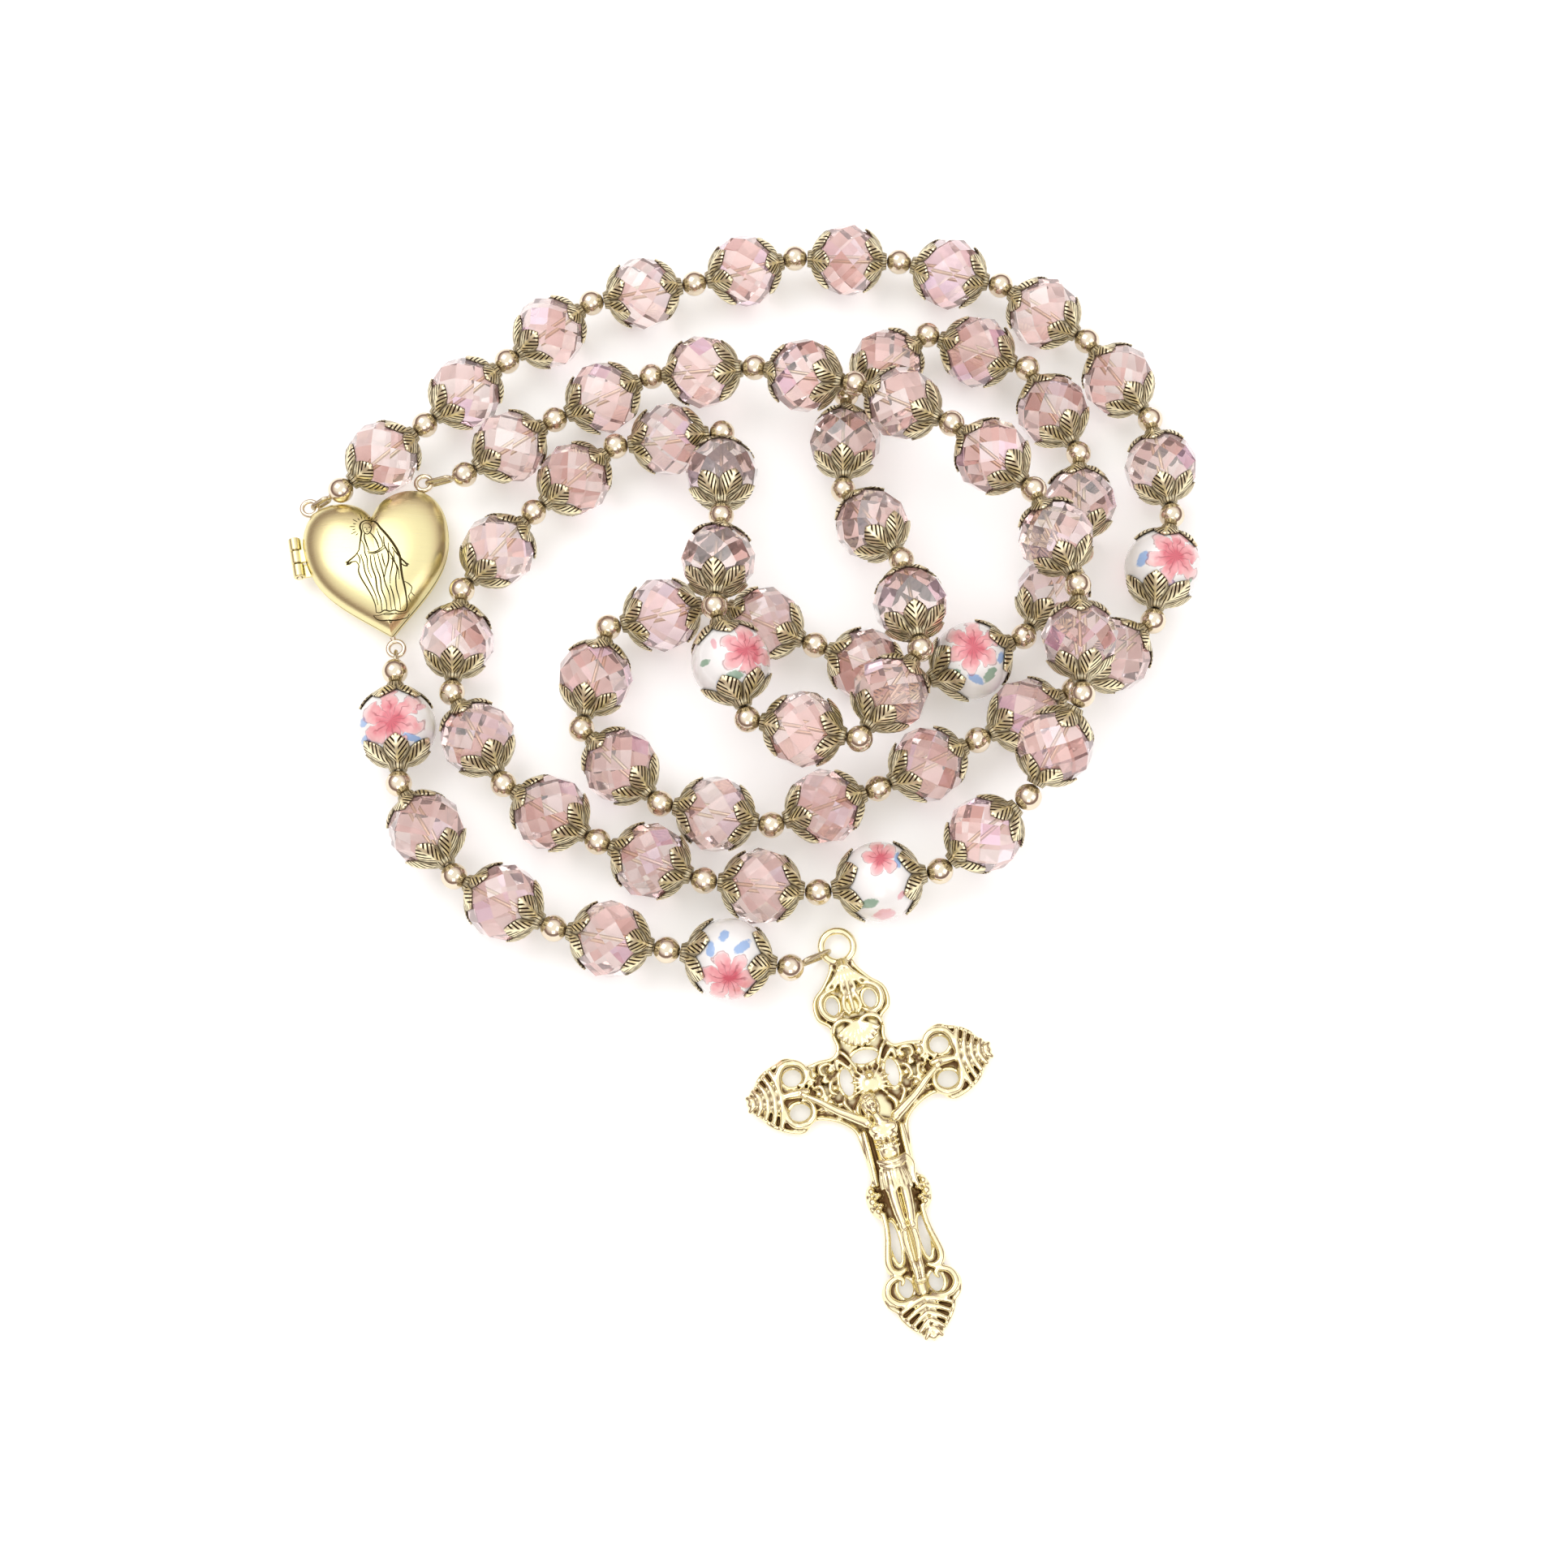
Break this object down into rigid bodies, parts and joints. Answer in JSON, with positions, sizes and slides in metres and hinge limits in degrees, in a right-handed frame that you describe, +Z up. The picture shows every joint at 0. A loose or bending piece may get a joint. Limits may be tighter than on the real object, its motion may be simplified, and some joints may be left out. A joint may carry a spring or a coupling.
{
  "type": "rosary",
  "caption": "Rosary of faceted pink crystal and painted ceramic beads on wire, with a hinged heart locket centrepiece and a filigree crucifix on a jointed drop.",
  "frame": {"origin": "middle of the footprint, on the surface that the rosary lies on", "axes": "+X to the right and +Y away from the crucifix across the laid-out loop, +Z up from the surface"},
  "size_m": [0.1158, 0.1433, 0.0198],
  "materials": {
    "crystal": "faceted, clear pale pink with a pearly coating",
    "ceramic": "glossy white glaze with painted flowers",
    "antique_gold": "antiqued gold plate, dark in the recesses",
    "polished_gold": "polished pale gold plate",
    "satin_gold": "brushed satin pale gold plate",
    "cast_gold": "bright cast pale gold with toned recesses",
    "wire": "gold-toned steel wire"
  },
  "bodies": {
    "root": {"locket_back_shell": "satin_gold", "locket_back_picture_frame": "polished_gold", "locket_hinge_pin": "polished_gold", "locket_ring_left": "polished_gold", "locket_ring_right": "polished_gold", "locket_ring_drop": "polished_gold", "wire_guard_left": "wire", "wire_guard_right": "wire", "decade_1_strand": "crystal", "decade_2_strand": "crystal", "decade_3_strand": "crystal", "decade_4_strand": "crystal", "decade_5_strand": "crystal", "pater_1_cap_a": "antique_gold", "pater_1_cap_b": "antique_gold", "pater_2_cap_a": "antique_gold", "pater_2_cap_b": "antique_gold", "pater_3_cap_a": "antique_gold", "pater_3_cap_b": "antique_gold", "pater_4_cap_a": "antique_gold", "pater_4_cap_b": "antique_gold"},
    "locket_lid": {"locket_front_cover": "satin_gold", "locket_front_picture_frame": "polished_gold"},
    "pater_1": {"pater_1_bead": "ceramic"},
    "pater_2": {"pater_2_bead": "ceramic"},
    "pater_3": {"pater_3_bead": "ceramic"},
    "pater_4": {"pater_4_bead": "ceramic"},
    "drop_top": {"drop_loop_top": "wire", "drop_ball_1": "polished_gold"},
    "drop_link_1": {"drop_wire_1": "wire", "drop_pater_1_cap_a": "antique_gold", "drop_pater_1_cap_b": "antique_gold"},
    "drop_pater_1": {"drop_pater_1_bead": "ceramic"},
    "drop_link_2": {"drop_wire_2": "wire", "drop_crystal_1_cap_a": "antique_gold", "drop_crystal_1_cap_b": "antique_gold"},
    "drop_crystal_1": {"drop_crystal_1_bead": "crystal"},
    "drop_joint_2": {"drop_ball_2": "polished_gold"},
    "drop_link_3": {"drop_wire_3": "wire", "drop_crystal_2_cap_a": "antique_gold", "drop_crystal_2_cap_b": "antique_gold"},
    "drop_crystal_2": {"drop_crystal_2_bead": "crystal"},
    "drop_joint_3": {"drop_ball_3": "polished_gold"},
    "drop_link_4": {"drop_wire_4": "wire", "drop_crystal_3_cap_a": "antique_gold", "drop_crystal_3_cap_b": "antique_gold"},
    "drop_crystal_3": {"drop_crystal_3_bead": "crystal"},
    "drop_joint_4": {"drop_ball_4": "polished_gold"},
    "drop_link_5": {"drop_wire_5": "wire", "drop_pater_2_cap_a": "antique_gold", "drop_pater_2_cap_b": "antique_gold"},
    "drop_pater_2": {"drop_pater_2_bead": "ceramic"},
    "drop_joint_5": {"drop_ball_5": "polished_gold"},
    "drop_end": {"drop_ball_6": "polished_gold", "drop_loop_end": "wire"},
    "crucifix": {"crucifix_cross": "cast_gold", "crucifix_corpus": "cast_gold"}
  },
  "joints": [
    {"name": "locket_hinge", "type": "hinge", "parent": "root", "child": "locket_lid", "pos_m": [-0.05733, 0.0248, 0.003], "axis": [0.2079, -0.9781, 0], "range_deg": [0, 150]},
    {"name": "pater_1_spin", "type": "hinge", "parent": "root", "child": "pater_1", "pos_m": [0.05192, 0.02255, 0.0051], "axis": [-0.213, -0.977, 0], "continuous": true},
    {"name": "pater_2_spin", "type": "hinge", "parent": "root", "child": "pater_2", "pos_m": [0.02753, 0.01, 0.00505], "axis": [0.899, 0.4379, 0.0066], "continuous": true},
    {"name": "pater_3_spin", "type": "hinge", "parent": "root", "child": "pater_3", "pos_m": [-0.00203, 0.0072, 0.01143], "axis": [-0.2744, 0.9579, 0.0845], "continuous": true},
    {"name": "pater_4_spin", "type": "hinge", "parent": "root", "child": "pater_4", "pos_m": [0.01579, -0.01848, 0.00507], "axis": [0.9851, 0.168, 0.0372], "continuous": true},
    {"name": "drop_swing", "type": "hinge", "parent": "root", "child": "drop_top", "pos_m": [-0.04403, 0.01207, 0.003], "axis": [0, 0, 1], "range_deg": [-15, 0]},
    {"name": "drop_lift_1", "type": "hinge", "parent": "drop_top", "child": "drop_link_1", "pos_m": [-0.0437, 0.0086, 0.0049], "axis": [-0.9959, -0.0909, 0], "range_deg": [0, 12]},
    {"name": "drop_spin_1", "type": "hinge", "parent": "drop_link_1", "child": "drop_pater_1", "pos_m": [-0.04303, 0.00123, 0.00505], "axis": [0.0909, -0.9957, 0.0203], "continuous": true},
    {"name": "drop_bend_2", "type": "hinge", "parent": "drop_link_1", "child": "drop_joint_2", "pos_m": [-0.04235, -0.00614, 0.0052], "axis": [0, 0, 1], "range_deg": [-15, 0]},
    {"name": "drop_lift_2", "type": "hinge", "parent": "drop_joint_2", "child": "drop_link_2", "pos_m": [-0.04235, -0.00614, 0.0052], "axis": [-0.849, -0.5284, 0], "range_deg": [0, 12]},
    {"name": "drop_spin_2", "type": "hinge", "parent": "drop_link_2", "child": "drop_crystal_1", "pos_m": [-0.03872, -0.01197, 0.00515], "axis": [0.5283, -0.849, -0.0073], "continuous": true},
    {"name": "drop_bend_3", "type": "hinge", "parent": "drop_link_2", "child": "drop_joint_3", "pos_m": [-0.03509, -0.01781, 0.0051], "axis": [0, 0, 1], "range_deg": [-15, 0]},
    {"name": "drop_lift_3", "type": "hinge", "parent": "drop_joint_3", "child": "drop_link_3", "pos_m": [-0.03509, -0.01781, 0.0051], "axis": [-0.4705, -0.8824, 0], "range_deg": [0, 12]},
    {"name": "drop_spin_3", "type": "hinge", "parent": "drop_link_3", "child": "drop_crystal_2", "pos_m": [-0.02902, -0.02104, 0.0051], "axis": [0.8824, -0.4705, 0], "continuous": true},
    {"name": "drop_bend_4", "type": "hinge", "parent": "drop_link_3", "child": "drop_joint_4", "pos_m": [-0.02296, -0.02428, 0.0051], "axis": [0, 0, 1], "range_deg": [-15, 0]},
    {"name": "drop_lift_4", "type": "hinge", "parent": "drop_joint_4", "child": "drop_link_4", "pos_m": [-0.02296, -0.02428, 0.0051], "axis": [-0.197, -0.9804, 0], "range_deg": [0, 12]},
    {"name": "drop_spin_4", "type": "hinge", "parent": "drop_link_4", "child": "drop_crystal_3", "pos_m": [-0.01622, -0.02563, 0.0052], "axis": [0.9803, -0.1969, 0.0146], "continuous": true},
    {"name": "drop_bend_5", "type": "hinge", "parent": "drop_link_4", "child": "drop_joint_5", "pos_m": [-0.00948, -0.02699, 0.0053], "axis": [0, 0, 1], "range_deg": [-15, 0]},
    {"name": "drop_lift_5", "type": "hinge", "parent": "drop_joint_5", "child": "drop_link_5", "pos_m": [-0.00948, -0.02699, 0.0053], "axis": [-0.135, -0.9909, 0], "range_deg": [0, 12]},
    {"name": "drop_spin_5", "type": "hinge", "parent": "drop_link_5", "child": "drop_pater_2", "pos_m": [-0.00215, -0.02798, 0.00505], "axis": [0.9903, -0.1349, -0.0335], "continuous": true},
    {"name": "crucifix_swing", "type": "hinge", "parent": "drop_link_5", "child": "drop_end", "pos_m": [0.00518, -0.02898, 0.0048], "axis": [0, 0, 1], "range_deg": [-20, 20]},
    {"name": "crucifix_lift", "type": "hinge", "parent": "drop_end", "child": "crucifix", "pos_m": [0.00914, -0.02653, 0.0013], "axis": [-0.977, -0.213, 0], "range_deg": [0, 25]}
  ]
}
